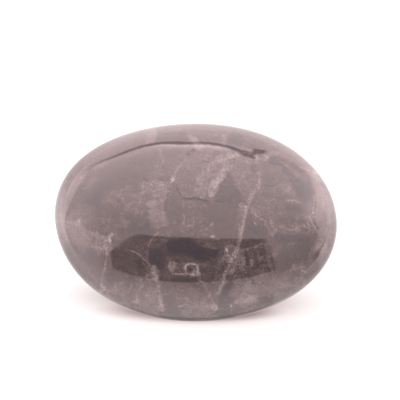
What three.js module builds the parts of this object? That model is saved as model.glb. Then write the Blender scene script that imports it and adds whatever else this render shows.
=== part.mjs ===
// A palm stone: one piece of cloudy quartz, ground to a flattened oval that fills the palm
// of a hand, and polished all over.
//
// Units are millimetres and +Z is up. The stone lies on its broad underside, with its
// length along X. The origin is under its middle, on the surface that it lies on.

import * as THREE from "three";

// Driving dimensions.
const LENGTH = 68;
const WIDTH = 48.5;
const GIRDLE_TO_TOP = 13; // the girdle is the widest line round the stone
const GIRDLE_TO_FOOT = 12.8; // a little less, because the stone settles on a small flat spot

// The side view. An exponent of 2 gives an ellipse, and more gives fuller shoulders.
const FULLNESS = 2.1;

// The plan view. Hand grinding leaves an oval that wanders from a true ellipse by these
// shares of its radius: a broad and a narrow side, and four soft corners.
const BROAD_SIDE = 0.007;
const SOFT_CORNERS = 0.0084;
const SOFT_CORNERS_TURN = THREE.MathUtils.degToRad(54);

// How finely the polished surface is divided.
const SEGMENTS_ROUND = 96;
const STEPS_TOP_TO_GIRDLE = 17;
const STEPS_GIRDLE_TO_FOOT = 16;

// The plan radius at an angle, as a share of the ellipse's.
function wander(angle) {
  return 1 + BROAD_SIDE * Math.sin(3 * angle) - SOFT_CORNERS * Math.cos(4 * angle - SOFT_CORNERS_TURN);
}

// The side view's radius, from 1 at the girdle to 0 at the full height.
function radiusAt(height) {
  return Math.pow(1 - Math.pow(Math.abs(height), FULLNESS), 1 / FULLNESS);
}

// The side view from the middle of the foot, round the girdle, to the top. Heights and
// radii are shares of the half thickness and the half width.
function sideView() {
  const footHeight = GIRDLE_TO_FOOT / GIRDLE_TO_TOP;
  const points = [new THREE.Vector2(0, -footHeight)];
  for (let i = STEPS_GIRDLE_TO_FOOT; i > 0; i -= 1) {
    const height = Math.sin((i / STEPS_GIRDLE_TO_FOOT) * Math.asin(footHeight));
    points.push(new THREE.Vector2(radiusAt(height), -height));
  }
  for (let i = 0; i < STEPS_TOP_TO_GIRDLE; i += 1) {
    const height = Math.sin((i / STEPS_TOP_TO_GIRDLE) * (Math.PI / 2));
    points.push(new THREE.Vector2(radiusAt(height), height));
  }
  points.push(new THREE.Vector2(0, 1));
  return points;
}

// The side view turned round into a pebble, then drawn out to the hand-ground oval.
function stoneGeometry() {
  const geometry = new THREE.LatheGeometry(sideView(), SEGMENTS_ROUND);
  geometry.rotateX(Math.PI / 2);
  const place = geometry.attributes.position;
  for (let i = 0; i < place.count; i += 1) {
    const share = wander(Math.atan2(place.getY(i), place.getX(i)));
    place.setXY(i, place.getX(i) * share, place.getY(i) * share);
  }
  return fitToSize(geometry);
}

// Centres the plan view and brings it to the stated length and width.
function fitToSize(geometry) {
  geometry.computeBoundingBox();
  const box = geometry.boundingBox;
  geometry.translate(-(box.min.x + box.max.x) / 2, -(box.min.y + box.max.y) / 2, 0);
  geometry.scale(LENGTH / (box.max.x - box.min.x), WIDTH / (box.max.y - box.min.y), GIRDLE_TO_TOP);
  geometry.computeVertexNormals();
  return geometry;
}

// Polished quartz: mauve grey, hard and glossy.
const polishedQuartz = new THREE.MeshStandardMaterial({
  color: 0x85777b,
  roughness: 0.06,
  metalness: 0,
});

const stone = new THREE.Mesh(stoneGeometry(), polishedQuartz);
stone.name = "palm_stone";
stone.position.z = GIRDLE_TO_FOOT;

const part = new THREE.Group();
part.add(stone);

export default part;
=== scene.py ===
import math

import bmesh
import bpy
import numpy as np
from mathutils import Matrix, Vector


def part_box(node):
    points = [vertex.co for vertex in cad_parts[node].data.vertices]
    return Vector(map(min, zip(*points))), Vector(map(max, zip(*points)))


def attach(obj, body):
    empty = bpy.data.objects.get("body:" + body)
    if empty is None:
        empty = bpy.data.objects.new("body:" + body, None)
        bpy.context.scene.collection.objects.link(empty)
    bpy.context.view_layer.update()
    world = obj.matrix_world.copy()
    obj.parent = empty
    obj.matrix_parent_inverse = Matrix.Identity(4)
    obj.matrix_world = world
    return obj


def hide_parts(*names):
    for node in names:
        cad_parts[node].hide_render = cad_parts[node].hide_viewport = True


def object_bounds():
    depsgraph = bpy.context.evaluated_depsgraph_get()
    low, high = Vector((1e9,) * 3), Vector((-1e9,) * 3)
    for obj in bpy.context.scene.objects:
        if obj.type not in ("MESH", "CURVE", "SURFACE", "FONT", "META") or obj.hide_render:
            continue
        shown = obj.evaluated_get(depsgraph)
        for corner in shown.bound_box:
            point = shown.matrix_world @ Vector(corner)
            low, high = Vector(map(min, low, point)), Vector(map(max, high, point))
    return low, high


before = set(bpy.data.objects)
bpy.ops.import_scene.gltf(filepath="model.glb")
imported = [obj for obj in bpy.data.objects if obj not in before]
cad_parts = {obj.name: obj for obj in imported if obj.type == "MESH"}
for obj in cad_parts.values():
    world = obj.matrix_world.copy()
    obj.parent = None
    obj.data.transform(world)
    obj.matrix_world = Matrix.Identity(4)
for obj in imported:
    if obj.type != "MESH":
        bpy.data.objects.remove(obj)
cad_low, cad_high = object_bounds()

MM = 0.001


# ---- The stone -------------------------------------------------------------------------
# One pebble of cloudy quartz, sawn from rough, ground to a flattened oval and tumbled until
# it shines. It settles on a flat spot too small to see.

FULLNESS = 2.1  # the side view: 2 is an ellipse, more has fuller shoulders
GIRDLE_HEIGHT = 12.8 * MM  # the widest line round the stone
BROAD_SIDE = 0.007  # of its radius, by which the oval bulges three times round
SOFT_CORNERS = 0.0084  # of its radius, which four corners lose
SOFT_CORNERS_TURN = math.radians(54)
SPHERE_SPLITS = 7  # makes 81,920 triangles


def wander(angle):
    """The oval's radius against an ellipse's: uneven sides and four soft corners."""
    corners = SOFT_CORNERS * math.cos(4 * angle - SOFT_CORNERS_TURN)
    return 1 + BROAD_SIDE * math.sin(3 * angle) - corners


def polished_shape():
    """The pebble as a fine, even mesh that fills the solid's box."""
    low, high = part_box("palm_stone")
    shape = bmesh.new()
    bmesh.ops.create_icosphere(shape, subdivisions=SPHERE_SPLITS, radius=1)
    for v in shape.verts:
        flat = math.hypot(v.co.x, v.co.y)
        angle = math.atan2(v.co.y, v.co.x)
        radius = flat ** (2 / FULLNESS) * wander(angle)
        height = math.copysign(abs(v.co.z) ** (2 / FULLNESS), v.co.z)
        v.co = (radius * math.cos(angle), radius * math.sin(angle), height)
    for axis in (0, 1):
        side = [v.co[axis] for v in shape.verts]
        least, most = min(side), max(side)
        for v in shape.verts:
            share = (v.co[axis] - least) / (most - least)
            v.co[axis] = low[axis] + share * (high[axis] - low[axis])
    for v in shape.verts:
        v.co.z = max(low.z, GIRDLE_HEIGHT + v.co.z * (high.z - GIRDLE_HEIGHT))
    mesh = bpy.data.meshes.new("palm_stone_polished")
    shape.to_mesh(mesh)
    shape.free()
    mesh.shade_smooth()
    return mesh


stone = bpy.data.objects.new("palm_stone_polished", polished_shape())
bpy.context.collection.objects.link(stone)


def linear(hex_colour):
    """An sRGB hex colour as linear red, green, blue and alpha."""
    parts = [int(hex_colour[i : i + 2], 16) / 255 for i in (1, 3, 5)]
    return [p / 12.92 if p <= 0.04045 else ((p + 0.055) / 1.055) ** 2.4 for p in parts] + [1]


def add(tree, kind, inputs=None, out=0, **settings):
    """Adds a node with its settings, and links or sets its inputs. Inputs and the output it
    gives back go by name, or by number among the sockets in use."""
    node = tree.nodes.new(kind)
    for name, value in settings.items():
        setattr(node, name, value)
    sockets = [s for s in node.inputs if s.enabled]
    for key, value in (inputs or {}).items():
        socket = sockets[key] if isinstance(key, int) else {s.name: s for s in sockets}[key]
        if isinstance(value, bpy.types.NodeSocket):
            tree.links.new(value, socket)
        else:
            socket.default_value = value
    outputs = [s for s in node.outputs if s.enabled]
    if not outputs:
        return node
    return outputs[out] if isinstance(out, int) else node.outputs[out]


# What is inside the stone is drawn on its skin. Places are given in mm seen from above, and
# end a little below the stone's widest part.
coordinates = np.empty(len(stone.data.vertices) * 3)
stone.data.vertices.foreach_get("co", coordinates)
skin = coordinates.reshape(-1, 3) / MM
MARKS_END, MARKS_WHOLE = 8.0, 10.0  # mm above the table
above_foot = (skin[:, 2] - MARKS_END) / (MARKS_WHOLE - MARKS_END)


def write_on_skin(name, values):
    """Keeps three numbers for each point of the stone's mesh."""
    layer = stone.data.attributes.new(name, "FLOAT_VECTOR", "POINT")
    layer.data.foreach_set("vector", values.astype(np.float32).ravel())


OVAL_POINTS = 12


def oval(x, y, wide, deep, turn=0):
    """An oval outline about a place, from its half widths and its turn in degrees."""
    turned = complex(math.cos(math.radians(turn)), math.sin(math.radians(turn)))
    angles = np.arange(OVAL_POINTS) * math.tau / OVAL_POINTS
    ring = [complex(wide * math.cos(a), deep * math.sin(a)) for a in angles]
    return [(x + (p * turned).real, y + (p * turned).imag) for p in ring]


def inside_of(outline, at):
    """How far inside a closed outline each place is, or less than 0 outside it."""
    outline = np.array(outline, dtype=float)
    best = np.full(len(at), np.inf)
    crossings = np.zeros(len(at), dtype=int)
    for a, b in zip(outline, np.roll(outline, -1, axis=0)):
        along = b - a
        off = at - a
        share = np.clip(off @ along / (along @ along), 0, 1)
        best = np.minimum(best, np.hypot(*(off - share[:, None] * along).T))
        spans = (a[1] > at[:, 1]) != (b[1] > at[:, 1])
        rise = along[1] or math.inf  # a level edge spans nothing
        crossings += spans & (at[:, 0] < a[0] + along[0] * (at[:, 1] - a[1]) / rise)
    return np.where(crossings % 2 == 1, best, -best)


# Clouds and clear windows, in layers painted one over another, with painted shade along the
# front rim and painted light along the lower left rim among them. Each layer has the softness
# and the unevenness of its edges in mm. Each place has its outline, the light it sends back
# in percent, and how busy it is: 0 is as calm as glass and 2 is full of wisps.
CLOUDS = {
    "broad_clouds_and_rim_shade": (1.3, 1.4, [
        ([(-33, 0), (-30, 5), (-26, 9), (-21, 12), (-15, 15), (-10, 15.5), (-9, 11), (-11.5, 6.5)]
            + [(-14, 5), (-18, 4.5), (-21, 2.5), (-24, 1), (-28, 0.5)], 4.3, 0.6),
        ([(-21, 1.5), (-20, 3.5), (-15, 5), (-11, 5.5), (-6.5, 5.5), (-6.3, 1), (-7, -1.5)]
            + [(-11, -1.5), (-16, 0), (-19, 0.8)], 6.1, 1.0),
        (oval(-22.8, -2.3, 2.6, 2.6), 5.4, 0.7),
        ([(-16, -2.2), (-12.5, -2.8), (-10.5, -4.2), (-9, -5.5), (-8.5, -6.8), (-12, -6.8)]
            + [(-15.5, -6.8), (-17.5, -5.5)], 3.6, 0.9),
        ([(-20.5, -2.3), (-16, -2.3), (-15.5, -4.8), (-18.5, -5.2)], 5.4, 0.9),
        ([(-35, 0), (-30, -0.5), (-26.5, -4), (-24.5, -6), (-24.5, -9), (-31, -9), (-34, -4)],
            5.5, 0.9),
        ([(-31, -8), (-27, -8), (-23.5, -10), (-21, -13), (-21, -17), (-26, -17)], 4.1, 0.8),
        ([(-19.5, -9.5), (-12, -10), (-11, -13), (-13, -14.5), (-19.5, -14.5)], 5.0, 0.6),
        ([(-22, -16), (-19, -15.5), (-13, -15), (-13, -24), (-22, -20)], 4.6, 1.1),
        ([(-13.5, -15), (-8, -15), (-7, -24), (-14, -24)], 6.5, 1.1),
        ([(-6.5, -15.5), (5, -17), (6, -24), (-6.5, -24)], 5.8, 1.2),
        ([(9, -15.5), (19, -15.3), (23, -14.6), (26, -14.8), (20, -21), (10, -24), (8.5, -21)],
            6.5, 1.0),
        ([(12, 0.5), (17, 1), (27, 0), (30, -2), (26.5, -4.5), (20, -5), (16, -3.5)], 5.8, 1.1),
        ([(10.5, -8.5), (17, -7.5), (19, -8), (19, -14), (10, -14.5)], 4.9, 1.3),
        ([(19.5, -5), (27, -5), (29, -8), (27, -12), (20, -14)], 4.3, 0.6),
        ([(24.5, -6.5), (31, -6), (29, -11.5), (25.5, -14)], 6.2, 0.5),
        ([(21, 9), (27, 12), (33, 4), (34, -5), (30.5, -6), (29, 0), (27.5, 6)], 6.5, 0.7),
        ([(-24, 12), (-10, 16), (-10, 25), (-26, 20)], 5.3, 0.6),
        ([(-3, 19), (0.5, 16), (7, 15.5), (7, 20.5), (18, 19), (24, 12), (30, 12), (10, 26)]
            + [(-4, 26)], 5.2, 0.7),
        # painted shade: a dark strip along the front rim, standing in for the dark contact shadow
        # mirrored there
        ([(-15, -22.2), (-13.5, -22.2), (-7, -23.5), (0, -23.3), (7, -23.2), (12.5, -22.3), (16, -20.7)]
            + [(18, -20.8), (18, -24), (0, -26), (-18, -24)], 2.2, 0.4),
    ]),
    "broad_marks_and_rim_light": (0.7, 1.0, [
        ([(-27, 2.5), (-24, 5), (-20, 8.5), (-15, 10), (-13, 7), (-17, 6), (-21, 4), (-25, 1.5)],
            3.6, 0.4),
        ([(-26.5, 0.5), (-26, 4), (-22.5, 4.5), (-22.3, 1)], 3.4, 1.0),
        (oval(-30.3, 2.2, 0.5, 1.1), 2.4, 0.8),
        (oval(21.5, 10.1, 1.8, 0.9, -30), 2.6, 0.8),
        (oval(21.2, -1.7, 1.7, 1.1), 4.3, 1.0),
        # painted light: a paler band along the lower left rim, which brightens the rim there
        ([(-25, -16), (-22, -17.8), (-17, -20.3), (-14, -21.3), (-14, -23), (-18, -22.5), (-24, -19)],
            7.4, 0.6),
        ([(19, -18), (22, -16.4), (25, -14.6), (26.5, -15), (23, -18), (19.5, -20)], 9.0, 0.6),
        (oval(30, -6.2, 0.9, 1.3), 8.4, 0.5),
        (oval(28.7, -9.2, 0.9, 1.2), 3.8, 0.5),
        (oval(-27.2, -2.2, 1.3, 0.8), 4.0, 0.9),
        (oval(-25.8, 6.9, 2.2, 1.5), 6.0, 0.6),
        (oval(-6, 8.7, 4.4, 1.5), 5.7, 0.8),
        (oval(3, 14.6, 3, 1.2), 6.6, 0.7),
        (oval(-6.6, 13.2, 1.8, 0.9), 4.6, 0.6),
        (oval(15.6, -14.9, 2, 1.2), 7.2, 0.9),
        (oval(-18.4, -1.6, 1.3, 1.2), 4.6, 0.9),
        (oval(-20.2, -3.4, 1.2, 1), 6.6, 0.9),
        ([(-13.5, 2.5), (-13, 5.5), (-9, 6.4), (-6.7, 5.6), (-7, 2.5), (-9.5, 1.5)], 7.4, 1.2),
        ([(-33, -1.8), (-29.5, -2.9), (-27, -3.9), (-25, -6), (-22, -6), (-20.5, -7), (-23, -9)]
            + [(-26, -8), (-28.5, -9), (-31, -6.5)], 5.7, 0.9),
        ([(-24.3, -5.8), (-21, -6), (-19, -6.5), (-18.6, -10), (-20.5, -11), (-23.5, -9.3)],
            8.4, 1.0),
        ([(-30.5, -7.5), (-28, -7), (-26.8, -9.3), (-27.8, -11), (-29.5, -10.5)], 3.7, 1.0),
        ([(-25, -9.3), (-23.6, -9.6), (-23.3, -12.3), (-24.4, -13), (-25.4, -11)], 2.8, 0.9),
        ([(-20.2, -15.3), (-18.6, -15), (-17.8, -16.8), (-18.6, -17.8), (-20.2, -17.4)], 3.0, 1.0),
        ([(-18.6, -16.8), (-16, -17.2), (-15, -19.5), (-17, -20)], 6.0, 1.1),
        ([(-13.5, -12.3), (-11.8, -12.2), (-10.8, -14), (-12.5, -14.5)], 3.4, 0.8),
        ([(-10.5, -13.8), (-8.9, -13.5), (-7.6, -17), (-6.7, -22.5), (-9, -23), (-11.5, -19)],
            6.9, 0.9),
        ([(-7.2, -16.6), (-5, -17), (-4.8, -19), (-6.6, -20)], 6.6, 0.9),
        ([(10.8, -16.2), (14.2, -16.2), (14.4, -20), (11.4, -20.4)], 8.0, 0.9),
        ([(-6.6, -7.7), (-3, -7.3), (-0.5, -7.3), (1, -8.5), (2.7, -9.2), (5.6, -9.6), (5.4, -11.2)]
            + [(3.4, -12.5), (1.5, -12.4), (0, -11.7), (-2, -11.1), (-4, -11.2), (-6, -11), (-6.4, -9.8)],
            3.1, 0.4),
        ([(-10.2, -10), (-7.4, -9.6), (-6.4, -10.8), (-6.4, -12.5), (-6.8, -14.5), (-8.6, -14)]
            + [(-10.2, -12.8)], 3.6, 0.6),
        ([(-6.4, -19.5), (-4.5, -20), (-3, -22), (-3, -23.5), (-6.3, -23.5)], 3.6, 0.8),
        ([(-1.8, -21), (2.6, -20.8), (4.2, -21.2), (6, -23), (3, -24), (-2, -23.5)], 7.2, 1.0),
        ([(9, -20.6), (11, -19.4), (14.8, -18.8), (14.6, -20.8), (11, -21.4)], 9.2, 0.9),
        ([(6.2, -19.6), (7.5, -19.2), (10.3, -19.7), (9.4, -21.2), (7, -21.9), (6, -21.5)],
            2.6, 2.0),
        (oval(17, -18.7, 1.7, 1.2), 4.2, 1.0),
        ([(21.8, -12.7), (23.4, -11.8), (25, -10.9), (25.8, -12.2), (23.5, -13.3)], 8.2, 0.7),
        ([(19.3, -3.1), (23, -3.3), (23.6, -4.4), (20, -4.6)], 6.1, 1.2),
        ([(17, -3.9), (18.6, -4.3), (18.7, -5.6), (17.3, -5.5)], 7.0, 1.2),
        ([(18.5, -5.2), (27, -4.6), (27, -6.3), (22, -7), (18.5, -6.8)], 3.5, 1.0),
        ([(11.6, -2.5), (14.5, -3), (17, -4.5), (17, -6), (14, -8), (11, -8.8)], 4.2, 0.8),
        ([(9.4, -9.4), (11.6, -9.6), (12, -14.2), (8.6, -14.4)], 8.7, 1.1),
        (oval(19.2, -9.2, 0.6, 2.2), 6.8, 1.1),
        (oval(31, -1.6, 0.7, 0.6), 2.2, 0.8),
        (oval(29, -1.6, 0.7, 0.9), 3.6, 0.8),
        ([(21.8, 9), (24.5, 9.6), (26.5, 8), (27.3, 6), (27.2, 3.6), (25.6, 2.2), (24, 4), (23, 6)],
            2.2, 0.9),
        (oval(-5.5, 7.8, 1.8, 0.8), 6.3, 0.9),
        (oval(14, -0.1, 1.5, 1.4), 7.4, 1.0),
        (oval(17, 8.1, 1.6, 1.4), 4.0, 0.8),
        ([(20.5, 2.4), (26, 2.4), (26.3, 0.6), (21, 0.3)], 3.4, 1.0),
        ([(19.2, 6.8), (22, 6.4), (22.3, 5.1), (19.8, 5)], 7.8, 1.4),
        ([(29, 9), (31, 8), (33.5, 3), (31, 2), (29.4, 4)], 7.6, 0.7),
        ([(25, 12.5), (28, 12.5), (30.5, 9.5), (29.3, 9)], 8.2, 1.0),
    ]),
    "plates": (0.35, 0.45, [
        ([(-2, 13.6), (-4.6, 10.4), (-5, 7), (-4.3, 4.2), (-3.3, 2.2), (0, 2.1), (-0.3, 5)]
            + [(0.5, 8), (2.5, 10.5), (5, 13.5), (4, 13.5), (2, 14.2)], 5.9, 1.0),
        ([(-0.4, 3), (-0.5, 5.5), (0.5, 8), (2.5, 10.5), (5, 13.5), (7, 14.2), (4.8, 9.5)]
            + [(3.2, 7), (2.6, 4.5), (3, 2.5), (1, 2.3)], 7.8, 1.2),
        (oval(-3.9, 8.7, 1, 1.6), 7.0, 1.0),
        ([(8.7, 14.5), (7.4, 10.8), (6.5, 7.8), (5.2, 5.2), (4.2, 2.5), (2.8, 2.3), (2.5, 4.5)]
            + [(3.1, 7), (4.7, 9.5), (7, 14.2)], 7.7, 1.2),
        ([(7.3, 9.3), (8.6, 7), (11.5, 1.7), (8, 1.4), (4.5, 1.6), (4.3, 2.6), (5.3, 5.2)]
            + [(6.5, 7.8)], 3.4, 1.2),
        ([(8.8, 14), (12, 13.4), (14, 12), (14.2, 8), (14.2, 5.5), (13, 3.6), (11.6, 2)]
            + [(8.6, 7.5), (7.5, 10)], 6.0, 1.1),
        ([(-7.2, 1.5), (-3.5, 2), (0.2, 1.9), (0.2, -0.5), (-1.5, -1.5), (-2.5, -4), (-6, -4.6)]
            + [(-6.5, -2.5), (-7, -1)], 5.1, 0.5),
        ([(1.5, 1.4), (9.6, 1), (10, -2), (9.6, -7), (6, -7.2), (4.8, -5), (3, -3), (1.2, -1)],
            4.8, 0.35),
        ([(-11.2, 1.2), (-7.2, 1.4), (-7, -1), (-6.5, -2.5), (-5.9, -4.2), (-8, -5.2)]
            + [(-9.6, -4.6), (-10.4, -3), (-10.9, -1)], 8.5, 0.9),
        ([(10.1, 0.4), (12.2, 0.6), (11.6, -3.5), (10.9, -7.5), (9.9, -8.7), (9.8, -4)], 7.1, 0.6),
        ([(-9.9, 20.2), (-3, 19.9), (-2.6, 18.2), (-1.6, 16.6), (-10, 16.6)], 4.2, 0.7),
        ([(-12.5, 22), (-10, 22), (-10, 16.3), (-12.3, 16.3)], 7.2, 0.6),
        ([(6.8, 16.3), (7, 18.5), (8, 20.7), (10.5, 20.4), (11, 17.5), (10.6, 15.6), (8, 15.5)],
            2.9, 0.9),
        ([(10.4, 15.5), (11, 17.5), (10.8, 20.3), (15, 18.7), (17.7, 16.3), (16.5, 15.3)], 3.9, 1.0),
        ([(5.6, 20), (7, 20), (6.8, 15.8), (5.8, 15.8)], 6.8, 0.6),
        ([(-2.6, 18.8), (-1.4, 19.2), (0.5, 16.8), (1.6, 15), (0.4, 14.4), (-0.8, 16)], 8.8, 0.7),
        ([(0.8, -7.6), (5, -7.7), (5.2, -9.4), (2.4, -9.1), (0.8, -8.2)], 5.4, 1.2),
        ([(-5.9, -12.7), (-4.5, -12.1), (-2.4, -12.6), (-2.2, -15.1), (-4.6, -15.3), (-6, -14.8)],
            5.3, 1.4),
        ([(-2.2, -12.6), (1.5, -12.6), (1.7, -15.7), (-2.2, -15.5)], 7.2, 1.2),
        (oval(4.4, -11.9, 1.4, 0.6), 3.4, 0.9),
        (oval(6.9, -15.9, 0.9, 1.2), 7.6, 1.0),
        ([(1.7, -13.2), (5.5, -11.6), (7.6, -13), (7.8, -15.6), (3, -16), (1.8, -15.2)], 5.5, 1.4),
        ([(-5, -15.8), (-0.8, -15.8), (1.4, -16.3), (2.6, -17.5), (4.2, -19.8), (1.5, -19)]
            + [(-1, -17.2), (-5, -17.2)], 4.3, 0.8),
        ([(7.4, -8.6), (9.8, -8.3), (9.9, -9.8), (9.1, -11.8), (8, -12.4), (7.3, -12.2)]
            + [(7.5, -11), (7.2, -10)], 7.6, 1.2),
        ([(8.7, -15.6), (9.4, -17), (7.8, -19.6), (6.7, -21.5), (6.1, -21.2), (6.4, -19.6)]
            + [(7.2, -17.8)], 2.6, 0.7),
        ([(16.8, 12.1), (17.2, 13.7), (18.4, 13.7), (21, 11.7), (19, 11.7)], 2.2, 0.9),
    ]),
    "knots": (0.3, 0.5, [
        (oval(-7.2, 4.2, 0.6, 1.0), 7.8, 1.1),
        (oval(4.4, 9.8, 1.1, 1.6, -30), 6.2, 1.1),
        (oval(7.9, 10.3, 0.5, 1.0, -20), 8.6, 1.1),
        (oval(22.6, 8, 1.4, 0.7, -35), 2.8, 0.9),
        (oval(-19.6, -9.6, 0.8, 0.9), 8.4, 1.0),
        (oval(10.7, -21.8, 0.7, 0.4), 4.5, 0.8),
        (oval(-7, -22.3, 0.8, 0.7), 9.0, 0.9),
        (oval(-7.4, 1.8, 0.7, 0.5), 9.0, 1.2),
        (oval(-0.4, 0.6, 3.2, 0.8), 6.4, 0.8),
        (oval(-8.8, -3.9, 1.5, 1.2), 7.4, 0.9),
        (oval(-9.6, 0.4, 1.5, 0.6), 9.8, 1.1),
        (oval(-12.7, 1.8, 0.9, 0.8), 8.4, 1.2),
        (oval(-8.7, 6, 0.7, 0.6), 8.5, 1.2),
        (oval(-5.4, 6.8, 0.6, 1.0), 11.0, 1.4),
        (oval(-8.3, 6.5, 1.0, 0.3), 2.6, 1.2),
        (oval(-7.2, 8.9, 0.5, 0.3, 40), 2.4, 1.0),
        (oval(-7.8, 9.6, 0.35, 0.4), 2.6, 1.0),
        (oval(-1, 14.3, 0.4, 0.35), 2.0, 0.7),
        (oval(-2.2, 13.3, 0.35, 0.5), 2.2, 0.7),
        (oval(-3.7, 19.2, 0.9, 0.5), 2.4, 0.9),
        (oval(3.4, 3.3, 0.9, 0.7, 30), 13.0, 1.4),
        (oval(3.9, 5.6, 1.2, 0.9, 40), 11.5, 1.4),
        (oval(5.8, 7.8, 0.5, 1.2, -20), 8.2, 1.3),
        (oval(7.2, 11.2, 0.5, 1.0, -15), 8.2, 1.3),
        (oval(8.7, 13.4, 0.8, 1.0), 10.0, 1.2),
        (oval(13.5, 10.4, 1.2, 1.4), 3.6, 0.9),
        (oval(8.5, 8.3, 0.5, 0.5), 6.6, 1.4),
        (oval(12.6, 3.9, 0.9, 0.8), 6.6, 1.3),
        (oval(10.8, 1.0, 1.2, 0.4), 8.8, 1.4),
        (oval(16.3, 11.7, 0.8, 0.6), 4.8, 1.1),
        (oval(16.2, 14.7, 0.45, 0.6), 9.0, 1.2),
        (oval(14.8, 13.7, 0.5, 0.5), 2.6, 1.2),
        (oval(4.2, -6.6, 0.6, 0.2), 18.0, 0.8),
        (oval(-6.8, -8, 1.1, 0.5, 30), 6.0, 1.4),
        (oval(-16.1, -4, 0.9, 1.0), 6.2, 0.9),
        (oval(-16.1, -4, 0.45, 0.5), 4.4, 0.8),
        (oval(-27.8, -3.3, 0.8, 0.3, -20), 7.2, 1.0),
        (oval(-27.3, -3.1, 0.3, 0.25), 12.0, 0.5),
        (oval(-20.4, -8.9, 0.5, 0.8), 9.6, 1.4),
        (oval(-19.3, -7.9, 0.4, 0.4), 14.0, 1.0),
        (oval(-19.1, -6.6, 0.5, 0.4), 10.0, 1.2),
        (oval(-20.4, -13.8, 0.3, 0.9), 8.2, 1.2),
        (oval(-21.3, -17.8, 0.7, 1.2), 9.4, 1.1),
        (oval(-10.2, -15.8, 0.8, 0.3, 20), 8.6, 1.2),
        (oval(-12.8, -20.9, 0.6, 0.35, 20), 12.5, 1.2),
        (oval(-0.8, -18.2, 0.8, 0.4), 7.2, 1.2),
        (oval(-2.1, -21.8, 0.9, 0.5), 11.0, 1.3),
        (oval(5.1, -22.1, 1.0, 0.6, -20), 12.5, 1.0),
        (oval(9.2, -21.3, 0.8, 0.5), 12.5, 1.1),
        (oval(6.6, -21, 0.35, 0.5), 1.6, 0.5),
        (oval(13.1, -20, 1.2, 0.6, 15), 11.5, 1.1),
        (oval(-4.8, -13.4, 0.9, 1.2), 9.8, 1.3),
        (oval(-3.5, -14, 0.5, 1.1), 4.6, 1.2),
        (oval(-8.9, -14.9, 0.9, 1.8), 9.8, 1.0),
        (oval(27, -2.8, 1.5, 0.8), 7.2, 1.0),
        (oval(1.3, -15, 0.4, 0.4), 12.0, 1.0),
        (oval(-0.7, -14, 0.55, 0.55), 3.4, 0.8),
        (oval(8.6, -10.8, 1.4, 0.4, -10), 10.5, 1.5),
        (oval(7.3, -12, 0.6, 0.35), 7.0, 1.3),
        (oval(7.5, -9.6, 0.35, 0.2), 20.0, 0.4),
        (oval(9.2, -13.8, 0.8, 0.3, 20), 9.6, 1.4),
        (oval(11.8, -14.3, 0.6, 0.4), 9.0, 1.4),
        (oval(13.2, -12, 0.4, 0.9, 20), 8.4, 1.4),
        (oval(27.5, 0.9, 0.3, 0.35), 11.0, 0.8),
        (oval(28, 11.6, 0.6, 0.4), 11.0, 1.0),
        (oval(20.5, 18, 0.6, 0.4), 9.0, 1.0),
    ]),
}

FAR_OUTSIDE = -9.0  # mm, beyond any soft edge

for name, (soft, uneven, places) in CLOUDS.items():
    layer = np.full(skin.shape, FAR_OUTSIDE)
    for outline, light, busy in places:
        reach = np.minimum(inside_of(outline, skin[:, :2]), above_foot)
        nearer = reach > layer[:, 0]
        layer[nearer] = np.column_stack([reach, reach * 0 + light, reach * 0 + busy])[nearer]
    write_on_skin(name, layer)


def smooth_path(points, steps=6):
    """A smooth line through a few points."""
    p = np.array(points, dtype=float)
    p = np.vstack([2 * p[:1] - p[1:2], p, 2 * p[-1:] - p[-2:-1]])
    line = []
    for a, b, c, d in zip(p, p[1:], p[2:], p[3:]):
        for t in np.arange(steps) / steps:
            bend = 2 * a - 5 * b + 4 * c - d + t * (3 * b - a - 3 * c + d)
            line.append(b + t / 2 * (c - a + t * bend))
    line.append(p[-2])
    return np.array(line)


def beside(line, at):
    """How far to the left of a line each place is, and how far from its nearer end."""
    best = np.full(len(at), np.inf)
    side = np.zeros(len(at))
    run = np.zeros(len(at))
    start = 0.0
    for a, b in zip(line, line[1:]):
        length = np.hypot(*(b - a))
        along = (b - a) / length
        off = at - a
        reach = off @ along
        gap = np.hypot(*(off - np.clip(reach, 0, length)[:, None] * along).T)
        nearer = gap < best
        left = np.where(along[0] * off[:, 1] > along[1] * off[:, 0], 1, -1)
        best[nearer] = gap[nearer]
        side[nearer] = (left * gap)[nearer]
        run[nearer] = (start + reach)[nearer]
        start += length
    return side, np.minimum(run, start - run)


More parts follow.
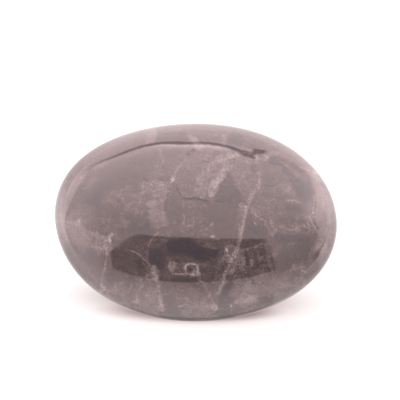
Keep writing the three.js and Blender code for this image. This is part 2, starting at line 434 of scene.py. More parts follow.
# Cracks that healed with white quartz, and dark hairlines: path in mm, half width to its left
# and right, the light it adds in percent, and the lean of those that go right through.
CRACKS = [
    ([(13.8, 14), (14, 12), (14.5, 9.5), (14.8, 7.5), (14.5, 5.6), (14.2, 4.8)], (0.5, 0.5),
        1.9, 0),
    ([(14.2, 9.8), (14.6, 7.4), (14.5, 5.4), (14, 4.4)], (0.2, 0.2), 2.6, 0),
    ([(14.4, 5), (13.9, 4.4), (13.3, 3.2), (12.7, 1.8), (12.2, 0.5), (11.7, -2), (11.2, -4.5)]
        + [(10.8, -7), (10.3, -9)], (0.12, 0.7), 3.9, 0.4),
    ([(10.4, -8.6), (9.9, -9.8), (9, -11.5), (8.3, -13)], (0.3, 0.6), 4.5, 0),
    ([(8.6, -12.4), (7.8, -14), (7.2, -16), (6.5, -18), (6, -19.6)], (0.2, 0.4), 4.6, 0.6),
    ([(10.5, 14.8), (13, 14), (15, 13), (16, 12.3)], (0.3, 0.3), 2.4, 0),
    ([(15.7, 12.5), (16.7, 14), (17.4, 15.5)], (0.25, 0.25), 3.5, 0),
    ([(8.9, 14.5), (7.4, 10.6), (6.5, 7.6), (5.3, 5), (4.3, 2.6)], (0.1, 0.9), 1.4, 0),
    ([(0.6, 14.6), (2, 13.4), (3.4, 12.2), (4.2, 11.4)], (0.18, 0.18), 2.4, 0),
    ([(-2.3, 12.6), (-4.5, 9.4), (-5.2, 7), (-5.7, 5.4)], (0.3, 0.15), 2.4, 0),
    ([(-9.3, 15), (-8.6, 13.3), (-8, 11.8), (-7.9, 10)], (0.25, 0.25), 2.0, 0),
    ([(-15, -10), (-12.5, -11), (-11, -12.3), (-9.4, -13.6)], (0.16, 0.16), 4.5, 0),
    ([(-9.7, -13.4), (-8.7, -14.2), (-8, -16), (-7.4, -18), (-6.9, -20), (-6.6, -22.5)],
        (0.12, 0.8), 3.2, 0.5),
    ([(-11.9, -12.2), (-10.7, -13.9)], (0.16, 0.16), 3.0, 0),
    ([(-7.5, -5.8), (-9.3, -7.4), (-10.2, -9), (-10.4, -11), (-10.3, -12.8)], (0.16, 0.4), 2.6, 0),
    ([(-20.2, -9), (-20.1, -12), (-20.5, -14), (-21, -15.8), (-21.4, -18)], (0.14, 0.25), 3.0, 0.3),
    ([(1, -15.8), (2.7, -17), (4, -18.8), (5.2, -20.8), (6.5, -22.3)], (0.1, 0.7), 3.0, 0),
    ([(-1.7, -14.7), (-1.8, -13.6), (-1.2, -13), (0.2, -12.9), (1, -13.3), (1.1, -14.3)]
        + [(0.9, -15.2)], (0.22, 0.22), 7.5, 0),
    ([(1.3, -15.3), (0, -15.3), (-1.5, -15), (-3.2, -15.2), (-5, -15)], (0.22, 0.15), 6.0, 0),
    ([(1.3, -13), (2.8, -12.7), (4, -12), (6, -11.3), (8, -10.6)], (0.2, 0.35), 1.6, 0),
    ([(12.8, -0.4), (15, -1.8), (17, -2.6)], (0.2, 0.2), 2.6, 0),
    ([(18.8, -3.2), (20.5, -3.7), (22.5, -3.8), (23.6, -3.3), (25, -2.5), (26.5, -2)],
        (0.3, 0.2), 2.6, 0),
    ([(17.3, -0.6), (17.6, -2.5), (17.9, -4.5)], (0.25, 0.25), 2.0, 0),
    ([(13.3, -2.6), (14.5, -3.7)], (0.16, 0.16), 8.0, 0),
    ([(-33, -1.6), (-29.5, -2.9), (-27.5, -3.6), (-26, -4.9)], (0.3, 0.5), 1.3, 0),
    ([(-26.5, -5.5), (-25.4, -6.3), (-24.3, -7.6)], (0.2, 0.2), 3.0, 0),
    ([(-26.5, -3), (-25, -4.7), (-24.1, -5.4)], (0.25, 0.2), -2.4, 0),
    ([(10.6, -9.4), (13, -8.7), (14.8, -8), (16, -7.2)], (0.2, 0.3), 3.0, 0),
    ([(16.2, -7.2), (17, -9.5), (18.3, -14)], (0.4, 0.4), 1.8, 0),
    ([(20.3, -13.8), (22.5, -12.8), (24.5, -12), (25.9, -11.2)], (0.15, 0.3), 1.8, 0),
    ([(24.5, -12.4), (26.6, -12.7)], (0.15, 0.2), 3.0, 0),
    ([(26.6, -0.4), (27.3, -1.4), (28.2, -2.5), (29.4, -4.6)], (0.2, 0.4), 3.0, 0),
    ([(31.6, -2), (31, -3.5), (30.6, -5)], (0.2, 0.2), -2.2, 0),
    ([(28, 6), (27.8, 4), (27.5, 2), (27.5, 0.4)], (0.2, 0.2), 3.4, 0),
    ([(20.8, 3), (23, 3.2), (24.8, 2.6)], (0.22, 0.22), 4.0, 0),
    ([(22.9, 4.2), (22.5, 2.4)], (0.18, 0.18), 3.5, 0),
    ([(-3.5, 2.2), (-1.5, 2), (0.5, 2), (2.2, 1.6), (3.4, 1.3)], (0.22, 0.22), -4.4, 0),
    ([(4.1, 1.9), (5.6, 1.5), (7.2, 1.6)], (0.18, 0.18), -2.6, 0),
    ([(7.2, 1.6), (9, 1.3), (11.5, 1.2)], (0.15, 0.15), -1.6, 0),
    ([(-4.4, 5), (-4.3, 4.2), (-3.7, 3.3), (-3.4, 2.2)], (0.22, 0.22), -3.6, 0),
    ([(-12.4, 7.2), (-11.6, 6.3), (-10.8, 5.8)], (0.22, 0.22), -3.4, 0),
    ([(-15, 11.4), (-14.5, 10.3)], (0.2, 0.2), -2.6, 0),
    ([(15.6, 6.6), (16.6, 6.2), (18, 6.4), (19.5, 7.6)], (0.2, 0.2), -3.4, 0),
    ([(1, 11.8), (1.8, 11.4), (2.6, 11.4), (3.4, 11.1)], (0.22, 0.22), -3.8, 0),
    ([(18.8, 12.4), (21, 11.3), (23.6, 10.1)], (0.3, 0.25), -2.8, 0),
    ([(11, 13.3), (13.4, 13.1)], (0.2, 0.2), -2.6, 0),
    ([(-2.5, -1.3), (-2.3, -2.6), (-2.4, -4), (-2, -4.8)], (0.2, 0.3), 2.6, 0),
    ([(-1.8, -4.7), (-1.1, -4.2), (-0.7, -4.7)], (0.25, 0.25), 5.0, 0),
    ([(-0.4, -1.8), (-0.2, -3.2), (-0.5, -4.2)], (0.2, 0.2), 2.4, 0),
    ([(-5.2, -4.2), (-4.4, -3.7), (-3.6, -4)], (0.25, 0.25), 2.2, 0),
    ([(2.2, -5.4), (3.2, -4.6), (4.4, -3.2)], (0.25, 0.25), 3.6, 0),
    ([(3.3, -4.9), (3.9, -5.7), (4.5, -6.4)], (0.18, 0.18), 3.0, 0),
    ([(1, -5.6), (1.9, -5.3)], (0.2, 0.2), 3.0, 0),
    ([(-17.1, -17.9), (-15.9, -16.2)], (0.15, 0.15), 3.0, 0),
    ([(-15.2, -19.6), (-14.3, -18.3), (-13.7, -16.7)], (0.15, 0.15), 3.0, 0),
    ([(-12.7, -19.3), (-11.6, -17.8), (-10.3, -16.4)], (0.15, 0.15), 3.2, 0),
    ([(-11.2, -20.6), (-10.2, -19.2), (-9.5, -17.9)], (0.15, 0.15), 2.6, 0),
    ([(-27.6, 5), (-24.4, 4.9)], (0.2, 0.2), 1.8, 0),
    ([(9.8, 7.2), (11, 8), (12.3, 8.2)], (0.2, 0.2), 2.0, 0),
    ([(21.3, -7.2), (22.4, -6.9), (23.4, -6.6)], (0.2, 0.3), 2.6, 0),
]
CLEAR_OF_ONE_ANOTHER = 2.2  # mm, for cracks that share a layer
ENDS = 0.8  # mm in which a crack's ends fade
FAR_OFF = 9  # half widths from a crack, where nothing of it shows

crack_layers = []
for path, (left_width, right_width), light, lean in CRACKS:
    below = np.maximum(GIRDLE_HEIGHT / MM - skin[:, 2], 0)
    at = skin[:, :2] + below[:, None] * (lean, 0)
    side, run = beside(smooth_path(path), at)
    near = np.abs(side) < CLEAR_OF_ONE_ANOTHER
    strength = light * np.clip(run / ENDS, 0, 1)
    if not lean:
        strength = strength * np.clip(above_foot, 0, 1)
    for layer in crack_layers:
        if not np.any(near & (layer[:, 2] != 0)):
            break
    else:
        layer = np.zeros(skin.shape)
        layer[:, 0] = FAR_OFF
        crack_layers.append(layer)
    layer[near, 0] = np.where(side > 0, side / left_width, side / right_width)[near]
    layer[near, 2] = strength[near]
for number, layer in enumerate(crack_layers):
    write_on_skin(f"healed_cracks_{number}", layer)


# Quartz, ground with ever finer grit and tumbled in polish. The eye gets sharp reflections
# in a glassy skin, over a milky mauve grey that is nowhere one even tone.
QUARTZ_IOR = 1.544
FINE_POLISH, DULLER_POLISH = 0.03, 0.06  # roughness
WAVES_PER_MM = 0.45
WAVE_HEIGHT = 0.012 * MM  # too low to feel
DRIFT_SIZE, DRIFT = 2.5, 2.4  # mm: the lumps of the swirl, and how far it drags the clouds
PLAIN_LIGHT = 5.3  # percent sent back where nothing is drawn
MOST_LIGHT = 20.0  # percent, for the palest tone
DARKEST_TONE, PALEST_TONE = "#191b1e", "#7c7979"
TONES = [(0.15, "#313034"), (0.225, "#3c3838"), (0.325, "#484242"), (0.5, "#595554")]

quartz = bpy.data.materials.new("cloudy_quartz_polished")
quartz.use_nodes = True
tree = quartz.node_tree
tree.nodes.clear()
place = add(tree, "ShaderNodeTexCoord", out="Object")
place = add(tree, "ShaderNodeVectorMath", {0: place, "Scale": 1 / MM}, operation="SCALE")

drift = add(
    tree,
    "ShaderNodeTexNoise",
    {"Vector": place, "Scale": 1 / DRIFT_SIZE, "Detail": 2.0},
    out="Color",
)
drift = add(tree, "ShaderNodeVectorMath", {0: drift, 1: (0.5, 0.5, 0.5)}, operation="SUBTRACT")
swirled = add(
    tree,
    "ShaderNodeVectorMath",
    {0: drift, 1: (DRIFT, DRIFT, DRIFT), 2: place},
    operation="MULTIPLY_ADD",
)
# Noise about 0, with lumps of so many mm. The real grain is finer than 0.2 mm, and is drawn
# as coarse as it has to be to show.
lumps = []
for where, size, detail, rough in (
    (place, 4.0, 2.0, 0.5),
    (swirled, 1.6, 3.0, 0.55),
    (swirled, 0.5, 3.0, 0.6),
    (place, 0.2, 1.0, 0.5),
    (swirled, 2.6, 4.0, 0.6),
    (place, 2.2, 2.0, 0.5),
):
    noise = add(
        tree,
        "ShaderNodeTexNoise",
        {"Vector": where, "Scale": 1 / size, "Detail": detail, "Roughness": rough},
        out="Fac",
    )
    lumps.append(add(tree, "ShaderNodeMath", {0: noise, 1: 0.5}, operation="SUBTRACT"))
slow, medium, quick, grain, fold, calm = lumps
stray = add(tree, "ShaderNodeMath", {0: medium, 1: 1.2, 2: slow}, operation="MULTIPLY_ADD")
stray = add(tree, "ShaderNodeMath", {0: quick, 1: 0.9, 2: stray}, operation="MULTIPLY_ADD")

# broad clouds come and go, more strongly toward the underside
FACE_ENDS, UNDERSIDE_BEGINS = 11.0, 7.0  # mm above the table
FACE_CLOUDS, UNDERSIDE_CLOUDS = 1.5, 14.0  # percent
height = add(tree, "ShaderNodeSeparateXYZ", {0: place}, out="Z")
cloudy = add(
    tree,
    "ShaderNodeMapRange",
    {
        "Value": height,
        "From Min": FACE_ENDS,
        "From Max": UNDERSIDE_BEGINS,
        "To Min": FACE_CLOUDS,
        "To Max": UNDERSIDE_CLOUDS,
    },
)
lightness = add(
    tree, "ShaderNodeMath", {0: slow, 1: cloudy, 2: PLAIN_LIGHT}, operation="MULTIPLY_ADD"
)
busy = 1.0
for name, (soft, uneven, places) in CLOUDS.items():
    layer = add(tree, "ShaderNodeAttribute", attribute_name=name, out="Vector")
    layer = add(tree, "ShaderNodeSeparateXYZ", {0: layer}).node
    reach = add(
        tree,
        "ShaderNodeMath",
        {0: stray, 1: 2 * uneven, 2: layer.outputs["X"]},
        operation="MULTIPLY_ADD",
    )
    mask = add(
        tree,
        "ShaderNodeMapRange",
        {"Value": reach, "From Min": -soft, "From Max": soft},
        interpolation_type="SMOOTHSTEP",
    )
    lightness = add(tree, "ShaderNodeMix", {0: mask, 1: lightness, 2: layer.outputs["Y"]})
    busy = add(tree, "ShaderNodeMix", {0: mask, 1: busy, 2: layer.outputs["Z"]})

# fine cloud in everything that is not calm, rougher in some spots, and a grain everywhere
SMOOTH_SPOTS, ROUGH_SPOTS = 0.4, 1.4
SPECKS_OVER, SPECKS = 0.09, 2.6  # the highest of the quick lumps, and how they stand out
GRAIN = 0.7
LEAST_CLOUD = 0.4  # of the light that a place has
rougher = add(
    tree,
    "ShaderNodeMapRange",
    {
        "Value": calm,
        "From Min": -0.12,
        "From Max": 0.14,
        "To Min": SMOOTH_SPOTS,
        "To Max": ROUGH_SPOTS,
    },
)
fine = add(tree, "ShaderNodeMath", {0: quick, 1: rougher}, operation="MULTIPLY")
cloud = add(tree, "ShaderNodeMath", {0: medium, 1: 1.0, 2: fine}, operation="MULTIPLY_ADD")
specks = add(tree, "ShaderNodeMath", {0: quick, 1: SPECKS_OVER}, operation="SUBTRACT")
specks = add(tree, "ShaderNodeMath", {0: specks, 1: 0.0}, operation="MAXIMUM")
cloud = add(tree, "ShaderNodeMath", {0: specks, 1: SPECKS, 2: cloud}, operation="MULTIPLY_ADD")
cloud = add(tree, "ShaderNodeMath", {0: cloud, 1: busy, 2: 1.0}, operation="MULTIPLY_ADD")
cloud = add(tree, "ShaderNodeMath", {0: grain, 1: GRAIN, 2: cloud}, operation="MULTIPLY_ADD")
cloud = add(tree, "ShaderNodeMath", {0: cloud, 1: LEAST_CLOUD}, operation="MAXIMUM")
lightness = add(tree, "ShaderNodeMath", {0: lightness, 1: cloud}, operation="MULTIPLY")

# wisps, thin as thread
WISP_WIDTH = 0.03  # of the fold they follow
WISP_LIGHT = 2.2  # percent more
fold = add(tree, "ShaderNodeMath", {0: fold}, operation="ABSOLUTE")
fold = add(
    tree,
    "ShaderNodeMapRange",
    {"Value": fold, "From Min": WISP_WIDTH, "From Max": 0.0},
    interpolation_type="SMOOTHSTEP",
)
here = add(
    tree,
    "ShaderNodeMapRange",
    {"Value": add(tree, "ShaderNodeMath", {0: quick, 1: slow}), "From Min": -0.1, "From Max": 0.2},
    interpolation_type="SMOOTHSTEP",
)
fold = add(tree, "ShaderNodeMath", {0: fold, 1: here}, operation="MULTIPLY")
fold = add(tree, "ShaderNodeMath", {0: fold, 1: busy}, operation="MULTIPLY")
lightness = add(
    tree, "ShaderNodeMath", {0: fold, 1: WISP_LIGHT, 2: lightness}, operation="MULTIPLY_ADD"
)

# cracks, which have ragged edges, stray a little, and come and go along their length
RAGGED, STRAYING = 3.0, 0.8  # half widths
CRACK_FADES, CRACK_FULL = 1.5, 0.2  # half widths from its line
GAPS, SMALL_GAPS, LEAST_CRACK = 2.5, 1.8, 0.3  # of a crack's light
ragged = add(tree, "ShaderNodeMath", {0: quick, 1: RAGGED}, operation="MULTIPLY")
ragged = add(tree, "ShaderNodeMath", {0: stray, 1: STRAYING, 2: ragged}, operation="MULTIPLY_ADD")
broken = add(tree, "ShaderNodeMath", {0: medium, 1: GAPS, 2: 1.0}, operation="MULTIPLY_ADD")
broken = add(tree, "ShaderNodeMath", {0: quick, 1: SMALL_GAPS, 2: broken}, operation="MULTIPLY_ADD")
broken = add(tree, "ShaderNodeMath", {0: broken, 1: LEAST_CRACK}, operation="MAXIMUM")
for number in range(len(crack_layers)):
    layer = add(
        tree, "ShaderNodeAttribute", attribute_name=f"healed_cracks_{number}", out="Vector"
    )
    layer = add(tree, "ShaderNodeSeparateXYZ", {0: layer}).node
    off = add(tree, "ShaderNodeMath", {0: ragged, 1: layer.outputs["X"]})
    off = add(tree, "ShaderNodeMath", {0: off}, operation="ABSOLUTE")
    line = add(
        tree,
        "ShaderNodeMapRange",
        {"Value": off, "From Min": CRACK_FADES, "From Max": CRACK_FULL},
        interpolation_type="SMOOTHSTEP",
    )
    line = add(tree, "ShaderNodeMath", {0: line, 1: layer.outputs["Z"]}, operation="MULTIPLY")
    lightness = add(
        tree, "ShaderNodeMath", {0: line, 1: broken, 2: lightness}, operation="MULTIPLY_ADD"
    )

share = add(tree, "ShaderNodeMath", {0: lightness, 1: MOST_LIGHT}, operation="DIVIDE")
tone = add(tree, "ShaderNodeValToRGB", {"Fac": share}, out="Color")
tones = tone.node.color_ramp
tones.elements[0].color = linear(DARKEST_TONE)
tones.elements[1].color = linear(PALEST_TONE)
for position, colour in TONES:
    tones.elements.new(position).color = linear(colour)

# the polish, a little duller in some spots, on its low waves
polish = add(
    tree,
    "ShaderNodeMapRange",
    {
        "Value": calm,
        "From Min": -0.15,
        "From Max": 0.15,
        "To Min": FINE_POLISH,
        "To Max": DULLER_POLISH,
    },
)
waves = add(
    tree, "ShaderNodeTexNoise", {"Vector": place, "Scale": WAVES_PER_MM, "Detail": 1.0}
)
waves = add(
    tree, "ShaderNodeBump", {"Height": waves, "Strength": 1.0, "Distance": WAVE_HEIGHT}
)
surface = add(
    tree,
    "ShaderNodeBsdfPrincipled",
    {"Base Color": tone, "Roughness": polish, "IOR": QUARTZ_IOR, "Normal": waves},
)
add(tree, "ShaderNodeOutputMaterial", {"Surface": surface})
stone.data.materials.append(quartz)

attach(stone, "root")
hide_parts("palm_stone")


# ---- The light table -------------------------------------------------------------------
# A sheet of white opal acrylic lit from below, which the stone lies on. Its glow is painted
# dark under the stone and dim in three soft pools in front of it, as painted shadow, and
# brighter further out.

TABLE_RADIUS = 1.6
HALF_LENGTH, HALF_WIDTH = cad_high.x, cad_high.y  # of the stone
MEAN_RADIUS = 28.0  # mm, about the stone's own
GLOW_FROM, GLOW_TO, GLOW_MOST = -10.0, 110.0, 4.0
# painted shade: the glow is nearly off under the stone and only comes up at its outline
GLOW = [  # mm outside the stone's outline, strength
    (-10, 0.0),
    (-8, 0.1),
    (-4, 0.95),
    (0, 1.1),
    (8, 1.3),
    (16, 1.65),
    (23, 2.05),
    (37, 2.6),
    (65, 3.3),
    (110, 3.8),
]
ROUND = [  # degrees round the stone from its right end, brightness
    (-180, 1.5),
    (-165, 1.12),
    (-150, 0.85),
    (-90, 0.65),
    (-50, 0.42),
    (-33, 0.4),
    (-25, 0.8),
    (5, 0.92),
    (20, 1.2),
    (40, 1.2),
    (60, 1.0),
    (75, 0.86),
    (107, 0.95),
    (125, 0.8),
    (137, 0.71),
    (150, 0.95),
    (165, 1.36),
    (180, 1.5),
]
ROUND_MOST = 1.5
WHITE = 0.96  # the brightness round the stone takes nothing below this
SHADE_TINT, WHITE_TINT, FAR_TINT = linear("#ffcecd"), linear("#fff8f8"), linear("#ffeced")
SHADE_ENDS = 0.7  # strength
FAR_FROM, FAR_TO = 6.0, 30.0  # mm outside the stone's outline
FAR_FULL = 1.3  # strength, from WHITE up
SHEET_TONE = linear("#6c6c6c")  # what the sheet sends back of the tent's light

bpy.ops.mesh.primitive_circle_add(vertices=64, radius=TABLE_RADIUS, fill_type="NGON")
table = bpy.context.object
table.name = "light_table"

# Cast opal acrylic, sanded matt. The eye gets an even white with no reflection in it, and
# shadows with no edge, most of them painted into its glow.
opal = bpy.data.materials.new("opal_acrylic_matt_lit")
opal.use_nodes = True
tree = opal.node_tree
tree.nodes.clear()
where = add(tree, "ShaderNodeTexCoord", out="Object")
flat_oval = add(
    tree,
    "ShaderNodeMapping",
    {"Vector": where, "Scale": (HALF_LENGTH, HALF_WIDTH, 1)},
    vector_type="TEXTURE",
)
ovals = add(tree, "ShaderNodeVectorMath", {0: flat_oval}, operation="LENGTH")
beyond = add(
    tree, "ShaderNodeMath", {0: ovals, 1: MEAN_RADIUS, 2: -MEAN_RADIUS}, operation="MULTIPLY_ADD"
)
span = add(
    tree, "ShaderNodeMapRange", {"Value": beyond, "From Min": GLOW_FROM, "From Max": GLOW_TO}
)


def shape_curve(socket, points, start, end, most):
    """Bends a Float Curve through points given in real units."""
    curve = socket.node.mapping.curves[0]
    while len(curve.points) < len(points):
        curve.points.new(0.5, 0.5)
    for point, (position, value) in zip(curve.points, points):
        point.location = ((position - start) / (end - start), value / most)
    socket.node.mapping.update()


glow = add(tree, "ShaderNodeFloatCurve", {"Value": span})
shape_curve(glow, GLOW, GLOW_FROM, GLOW_TO, GLOW_MOST)
level = add(tree, "ShaderNodeMath", {0: glow, 1: GLOW_MOST}, operation="MULTIPLY")

part_x, part_y, _ = add(tree, "ShaderNodeSeparateXYZ", {"Vector": flat_oval}).node.outputs
bearing = add(tree, "ShaderNodeMath", {0: part_y, 1: part_x}, operation="ARCTAN2")
turn = add(
    tree, "ShaderNodeMapRange", {"Value": bearing, "From Min": -math.pi, "From Max": math.pi}
)
around = add(tree, "ShaderNodeFloatCurve", {"Value": turn})
shape_curve(around, ROUND, -180, 180, ROUND_MOST)
around = add(tree, "ShaderNodeMath", {0: around, 1: ROUND_MOST}, operation="MULTIPLY")
around = add(tree, "ShaderNodeMath", {0: level, 1: around}, operation="MULTIPLY")
floor = add(tree, "ShaderNodeMath", {0: level, 1: WHITE}, operation="MINIMUM")
level = add(tree, "ShaderNodeMath", {0: around, 1: floor}, operation="MAXIMUM")

# Painted shadow, in pools. Middle and half width of each pool, in mm, where it is darkest and
# clear again as shares of that half width, and what is left of the light at its darkest.
SHADOW_POOLS = [
    ((0, -17), (41, 8), (0, 1), 0.1),
    ((-4, -20.5), (27, 3.5), (0, 0.9), 0.25),
    ((2, -19.5), (22, 3), (0.3, 1), 0),
]
for middle, half, (dark, clear), darkest in SHADOW_POOLS:
    pool = add(
        tree,
        "ShaderNodeMapping",
        {
            "Vector": where,
            "Location": (middle[0] * MM, middle[1] * MM, 0),
            "Scale": (half[0] * MM, half[1] * MM, 1),
        },
        vector_type="TEXTURE",
    )
    reach = add(tree, "ShaderNodeVectorMath", {0: pool}, operation="LENGTH")
    lit = add(
        tree,
        "ShaderNodeMapRange",
        {"Value": reach, "From Min": dark, "From Max": clear, "To Min": darkest},
        interpolation_type="SMOOTHSTEP",
    )
    level = add(tree, "ShaderNodeMath", {0: level, 1: lit}, operation="MULTIPLY")

# A dark patch in the table's glow along the front, which only the stone's polish shows: a
# painted reflection, with no card there. It keeps the rim there from mirroring the white
# sheet as a thin bright line.
DARK_REFLECTION_MIDDLE = (2 * MM, -29.5 * MM, 0)
DARK_REFLECTION_HALF = (29 * MM, 8.5 * MM, 1)
DARK_REFLECTION_DEPTH = 0.58  # the share of the table's light that it hides
DARK_REFLECTION_CLEAR, DARK_REFLECTION_DARK = 1.1, 0.6  # of its half width, between which it fades
dark_reflection = add(
    tree,
    "ShaderNodeMapping",
    {"Vector": where, "Location": DARK_REFLECTION_MIDDLE, "Scale": DARK_REFLECTION_HALF},
    vector_type="TEXTURE",
)
dark_reflection = add(tree, "ShaderNodeVectorMath", {0: dark_reflection}, operation="LENGTH")
dark_reflection = add(
    tree,
    "ShaderNodeMapRange",
    {"Value": dark_reflection, "From Min": DARK_REFLECTION_CLEAR, "From Max": DARK_REFLECTION_DARK, "To Max": DARK_REFLECTION_DEPTH},
    interpolation_type="SMOOTHSTEP",
)
mirrored = add(tree, "ShaderNodeLightPath", out="Is Glossy Ray")
dark_reflection = add(tree, "ShaderNodeMath", {0: dark_reflection, 1: mirrored}, operation="MULTIPLY")
unhidden = add(tree, "ShaderNodeMath", {0: 1.0, 1: dark_reflection}, operation="SUBTRACT")
level = add(tree, "ShaderNodeMath", {0: level, 1: unhidden}, operation="MULTIPLY")

# the light is pinker in the painted shade and far out, and nearly white between
tinted = add(
    tree,
    "ShaderNodeMapRange",
    {"Value": beyond, "From Min": FAR_FROM, "From Max": FAR_TO},
    interpolation_type="SMOOTHSTEP",
)
over_white = add(
    tree, "ShaderNodeMapRange", {"Value": level, "From Min": WHITE, "From Max": FAR_FULL}
)
tinted = add(tree, "ShaderNodeMath", {0: tinted, 1: over_white}, operation="MULTIPLY")
out_of_shade = add(tree, "ShaderNodeMapRange", {"Value": level, "From Max": SHADE_ENDS})
colour = add(
    tree,
    "ShaderNodeMix",
    {"Factor": out_of_shade, "A": SHADE_TINT, "B": WHITE_TINT},
    data_type="RGBA",
)
colour = add(
    tree,
    "ShaderNodeMix",
    {"Factor": tinted, "A": colour, "B": FAR_TINT},
    data_type="RGBA",
)
glowing = add(tree, "ShaderNodeEmission", {"Color": colour, "Strength": level})
matt = add(tree, "ShaderNodeBsdfDiffuse", {"Color": SHEET_TONE})
both = add(tree, "ShaderNodeAddShader", {0: glowing, 1: matt})
add(tree, "ShaderNodeOutputMaterial", {"Surface": both})
table.data.materials.append(opal)


# ---- The light tent --------------------------------------------------------------------
# White cloth on a frame, lit from outside all round and above. A seam runs where its roof
# meets the back wall, and the front is open on to a dark room.

LIGHT_TINT = linear("#ffe7e8")
BACK_TO_FRONT = [  # degrees over the stone from the back wall, brightness
    (0, 4.3),
    (16, 4.4),
    (24, 5.8),
    (32, 4.9),
    (48, 4.5),
    (66, 3.5),
    (78, 2.7),
    (93, 2.3),
    (134, 1.5),
    (146, 2.3),
    (160, 3.0),
    (180, 3.3),
]
LEFT_WALL = [(0, 5.8), (30, 5.7), (66, 4.2), (90, 4.7), (120, 4.4), (150, 3.6), (180, 3.4)]
RIGHT_WALL = [(0, 6.2), (55, 5.6), (68, 5.0), (76, 2.2), (90, 1.9), (130, 1.3), (180, 1.5)]
RIGHT_END = [(0, 5.2), (25, 4.5), (75, 4.2), (90, 3.6), (134, 3.4), (141, 1.5), (180, 1.2)]
SIDES = [  # each with the degrees aside between which it takes over
    (LEFT_WALL, -38, -62),
    (RIGHT_WALL, 40, 56),
    (RIGHT_END, 65, 73),
]
LEVEL_MOST = 10.0

world = bpy.data.worlds.new("light_tent")
bpy.context.scene.world = world
world.use_nodes = True
tree = world.node_tree
tree.nodes.clear()
where = add(tree, "ShaderNodeTexCoord", out="Generated")
part_x, part_y, part_z = add(tree, "ShaderNodeSeparateXYZ", {"Vector": where}).node.outputs

# directions: degrees over the stone from the back, and degrees aside to the right
over = add(tree, "ShaderNodeMath", {0: part_z, 1: part_y}, operation="ARCTAN2")
over = add(tree, "ShaderNodeMath", {0: over}, operation="DEGREES")
aside = add(tree, "ShaderNodeMath", {0: part_x}, operation="ARCSINE")
aside = add(tree, "ShaderNodeMath", {0: aside}, operation="DEGREES")
share = add(tree, "ShaderNodeMapRange", {"Value": over, "From Max": 180.0})

level = add(tree, "ShaderNodeFloatCurve", {"Value": share})
shape_curve(level, BACK_TO_FRONT, 0, 180, LEVEL_MOST)
for points, start, end in SIDES:
    wall = add(tree, "ShaderNodeFloatCurve", {"Value": share})
    shape_curve(wall, points, 0, 180, LEVEL_MOST)
    turn = add(
        tree,
        "ShaderNodeMapRange",
        {"Value": aside, "From Min": start, "From Max": end},
        interpolation_type="SMOOTHSTEP",
    )
    level = add(tree, "ShaderNodeMix", {"Factor": turn, "A": level, "B": wall}, data_type="FLOAT")
level = add(tree, "ShaderNodeMath", {0: level, 1: LEVEL_MOST}, operation="MULTIPLY")

SEAM_FROM, SEAM_TO, SEAM_MOST = -85, 85, 120
# Degrees aside and over along each, where it starts and ends, its edges near and far, each
# from clear to dark, and the share of the light that it takes.
SEAMS = [
    (  # where roof and back wall meet
        [(-85, 2), (-65, 3), (-50, 6), (-45, 10.5), (-41, 14), (-36, 17.5), (-31, 19.6)]
        + [(-27, 20), (-22, 18.8), (-16.5, 17), (-12.5, 17.1), (-8, 19.3), (-4.5, 21)]
        + [(0.5, 20.9), (5.5, 22.2), (9, 24.2), (12, 27), (17, 30), (85, 31)],
        (-56, -14),
        (15, 12),
        (-3.6, -0.9),
        (3.6, 0.9),
        0.82,
    ),
    (  # the cloth there is thicker to the left
        [(-85, 2), (-50, 6), (-41, 14), (-36, 17.5), (-31, 19.6), (-27, 20), (-22, 18.8)]
        + [(-16, 17), (85, 17)],
        (-43, -34),
        (-17, -25),
        (-6, -1),
        (6, 1),
        0.2,
    ),
    (  # the lit hem under it
        [(-85, 20.3), (-12, 20.7), (-8, 22.5), (-4.5, 24.8), (4.5, 25.2), (9.5, 28.8), (85, 31)],
        (-20, -10),
        (10, 7),
        (-2.2, 0),
        (5, 0.5),
        -0.4,
    ),
    (  # it sags open at its right end
        [(-85, 25), (8, 25.3), (12, 27.4), (16, 28.6), (85, 29)],
        (9, 15),
        (18.6, 17.4),
        (-5.5, -2.5),
        (5.5, 2.5),
        0.9,
    ),
    (  # a peg
        [(-85, 22), (17, 21.5), (20, 18.5), (22, 16.5), (85, 15)],
        (15.6, 17.6),
        (23.4, 21.2),
        (-6.6, -2.2),
        (6.2, 2.4),
        0.85,
    ),
    (  # the roof cloth bends down to the right
        [(-85, 12), (17, 13), (24, 15), (27.3, 13), (30.4, 9), (34, 6.5), (40, 3), (43, 3)]
        + [(48, 8), (53, 16), (56.5, 27), (59.3, 66), (65.9, 78), (74.4, 96), (79, 112)]
        + [(85, 125)],
        (14, 24),
        (90, 88),
        (-2.5, 2.5),
        (40, 4),
        0.22,
    ),
    (  # a gap beside the right wall
        [(-85, 60), (58, 62), (61.4, 70), (65.9, 78), (77.5, 98), (85, 118)],
        (58, 60.5),
        (68, 63),
        (-4, -1),
        (6, 1),
        0.5,
    ),
    (  # and to the left
        [(-85, 46), (-74, 45), (-68, 42.5), (-62, 39), (-56, 33.5), (-50, 28.5), (-46, 22)]
        + [(-42, 14), (-38, 12), (85, 12)],
        (-38, -44),
        (-90, -85),
        (-3, 3),
        (35, 4),
        0.25,
    ),
]
seam_share = add(
    tree, "ShaderNodeMapRange", {"Value": aside, "From Min": SEAM_FROM, "From Max": SEAM_TO}
)
for points, start, end, near_edge, far_edge, depth in SEAMS:
    seam = add(tree, "ShaderNodeFloatCurve", {"Value": seam_share})
    shape_curve(seam, points, SEAM_FROM, SEAM_TO, SEAM_MOST)
    off = add(tree, "ShaderNodeMath", {0: seam, 1: -SEAM_MOST, 2: over}, operation="MULTIPLY_ADD")
    shade = depth
    for value, (clear, dark) in ((off, near_edge), (off, far_edge), (aside, start), (aside, end)):
        step = add(
            tree,
            "ShaderNodeMapRange",
            {"Value": value, "From Min": clear, "From Max": dark},
            interpolation_type="SMOOTHSTEP",
        )
        shade = add(tree, "ShaderNodeMath", {0: shade, 1: step}, operation="MULTIPLY")
    lit = add(tree, "ShaderNodeMath", {0: 1.0, 1: shade}, operation="SUBTRACT")
    level = add(tree, "ShaderNodeMath", {0: level, 1: lit}, operation="MULTIPLY")

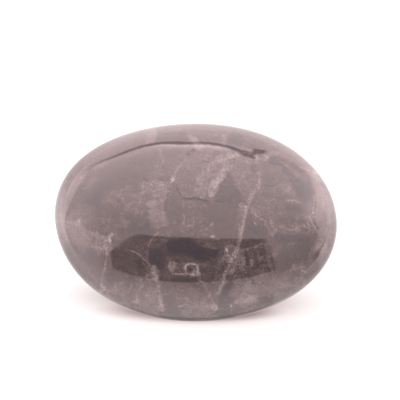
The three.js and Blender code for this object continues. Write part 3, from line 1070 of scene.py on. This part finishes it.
# The open front, in a flat wall that faces the stone from 131 degrees over. Places on it
# are measured in that wall's distance from the stone.
FRONT_TILT = math.radians(131)
TOWARD_FRONT = (0, math.cos(FRONT_TILT), math.sin(FRONT_TILT))
UP_THE_FRONT = (0, math.sin(FRONT_TILT), -math.cos(FRONT_TILT))
JUST_AHEAD = 0.001  # so that the opening shows on this side alone
ahead = add(tree, "ShaderNodeVectorMath", {0: where, 1: TOWARD_FRONT}, operation="DOT_PRODUCT")
upward = add(tree, "ShaderNodeVectorMath", {0: where, 1: UP_THE_FRONT}, operation="DOT_PRODUCT")
ahead = add(tree, "ShaderNodeMath", {0: ahead, 1: JUST_AHEAD}, operation="MAXIMUM")
across = add(tree, "ShaderNodeMath", {0: part_x, 1: ahead}, operation="DIVIDE")
upward = add(tree, "ShaderNodeMath", {0: upward, 1: ahead}, operation="DIVIDE")
on_front = add(tree, "ShaderNodeCombineXYZ", {"X": across, "Y": upward})

OPENING_MIDDLE = (-0.08, 0.36, 0)
OPENING_EDGES = [  # which way each faces, in degrees, how far out it is, and how soft
    (87, 0.402, 0.018),
    (9, 0.724, 0.06),
    (-88, 0.389, 0.018),
    (184, 0.734, 0.025),
    (146, 0.595, 0.03),
]
OPENING_ROUND = 1.7  # its corners, against the softness of its edges
FAR_INSIDE = 50.0
from_middle = add(
    tree, "ShaderNodeVectorMath", {0: on_front, 1: OPENING_MIDDLE}, operation="SUBTRACT"
)
inside = FAR_INSIDE
for facing, distance, soft in OPENING_EDGES:
    outward = (math.cos(math.radians(facing)), math.sin(math.radians(facing)), 0)
    reach = add(
        tree, "ShaderNodeVectorMath", {0: from_middle, 1: outward}, operation="DOT_PRODUCT"
    )
    spare = add(tree, "ShaderNodeMath", {0: distance, 1: reach}, operation="SUBTRACT")
    spare = add(tree, "ShaderNodeMath", {0: spare, 1: soft}, operation="DIVIDE")
    inside = add(
        tree,
        "ShaderNodeMath",
        {0: inside, 1: spare, 2: OPENING_ROUND},
        operation="SMOOTH_MIN",
    )
cloth = add(
    tree,
    "ShaderNodeMapRange",
    {"Value": inside, "From Min": 1.0, "From Max": -1.0},
    interpolation_type="SMOOTHSTEP",
)
level = add(tree, "ShaderNodeMath", {0: level, 1: cloth}, operation="MULTIPLY")

backdrop = add(tree, "ShaderNodeBackground", {"Color": LIGHT_TINT, "Strength": level})
add(tree, "ShaderNodeOutputWorld", {"Surface": backdrop})

bpy.context.scene.view_settings.view_transform = "Standard"


# ---- The camera ------------------------------------------------------------------------
# It looks down on the stone from in front, slightly from the right.

ELEVATION, AZIMUTH = math.radians(75), math.radians(2)
DISTANCE = 267.15 * MM
RIGHTWARD, UPWARD = 1.1 * MM, 4.97 * MM  # the stone lies left of and below the middle
LENS = 100  # mm

back = Vector(
    (
        math.sin(AZIMUTH) * math.cos(ELEVATION),
        -math.cos(AZIMUTH) * math.cos(ELEVATION),
        math.sin(ELEVATION),
    )
)
right = Vector((math.cos(AZIMUTH), math.sin(AZIMUTH), 0))
up = back.cross(right)
lens = bpy.data.cameras.new("camera")
lens.lens = LENS
camera = bpy.data.objects.new("camera", lens)
bpy.context.collection.objects.link(camera)
camera.location = (cad_low + cad_high) / 2 + back * DISTANCE + right * RIGHTWARD + up * UPWARD
camera.rotation_mode = "QUATERNION"
camera.rotation_quaternion = (-back).to_track_quat("-Z", "Y")
bpy.context.scene.camera = camera
